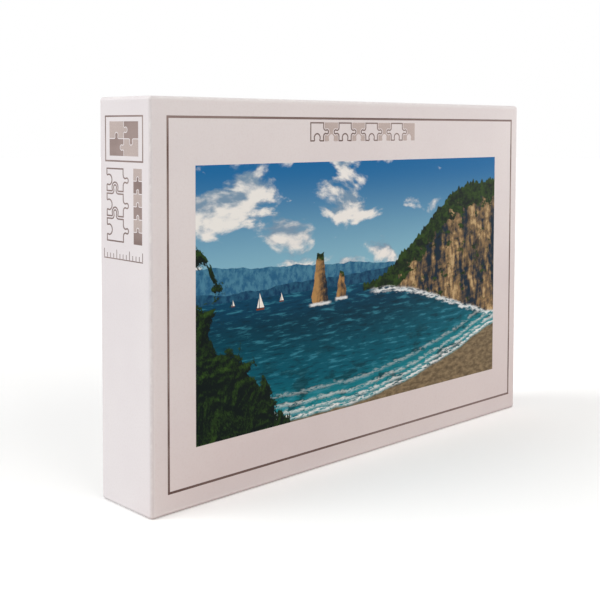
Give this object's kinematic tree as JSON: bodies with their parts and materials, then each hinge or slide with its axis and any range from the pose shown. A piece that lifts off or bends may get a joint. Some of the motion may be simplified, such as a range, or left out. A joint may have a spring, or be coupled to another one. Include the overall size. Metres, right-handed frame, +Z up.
{
  "type": "boxed jigsaw puzzle",
  "caption": "Boxed jigsaw puzzle: a rigid cardboard box with a full-depth lift-off lid over a shallow tray, holding a clear bag of loose interlocking puzzle pieces.",
  "frame": {"origin": "on the surface that the box stands on, under the middle of the box", "axes": "+X along the box's length, to the right of someone who looks at the picture side; +Y from the picture side to the back; +Z up"},
  "size_m": [0.34, 0.048, 0.231],
  "materials": {
    "greyboard": "matte",
    "corner_tape": "matte",
    "printed_paper": "satin",
    "plain_paper": "matte",
    "clear_film": "clear gloss",
    "puzzle_board": "satin"
  },
  "bodies": {
    "base": {"base_board": "greyboard", "base_corner_stays": "corner_tape", "base_wrap": "plain_paper"},
    "lid": {"lid_board": "greyboard", "lid_corner_stays": "corner_tape", "lid_wrap": "printed_paper"},
    "contents": {"piece_bag": "clear_film", "puzzle_row_01": "puzzle_board", "puzzle_row_02": "puzzle_board", "puzzle_row_03": "puzzle_board", "puzzle_row_04": "puzzle_board", "puzzle_row_05": "puzzle_board", "puzzle_row_06": "puzzle_board", "puzzle_row_07": "puzzle_board", "puzzle_row_08": "puzzle_board", "puzzle_row_09": "puzzle_board", "puzzle_row_10": "puzzle_board", "puzzle_row_11": "puzzle_board", "puzzle_row_12": "puzzle_board", "puzzle_row_13": "puzzle_board", "puzzle_row_14": "puzzle_board", "puzzle_row_15": "puzzle_board", "puzzle_row_16": "puzzle_board", "puzzle_row_17": "puzzle_board", "puzzle_row_18": "puzzle_board", "puzzle_row_19": "puzzle_board", "puzzle_row_20": "puzzle_board"}
  },
  "joints": [
    {"name": "lid_lift", "type": "slide", "parent": "base", "child": "lid", "axis": [0, -1, 0], "range_m": [0, 0.13]},
    {"name": "bag_lift", "type": "slide", "parent": "base", "child": "contents", "axis": [0, -1, 0], "range_m": [0, 0.065]}
  ],
  "couplings": [
    {"joint": "bag_lift", "follows": "lid_lift", "ratio": 0.5}
  ]
}
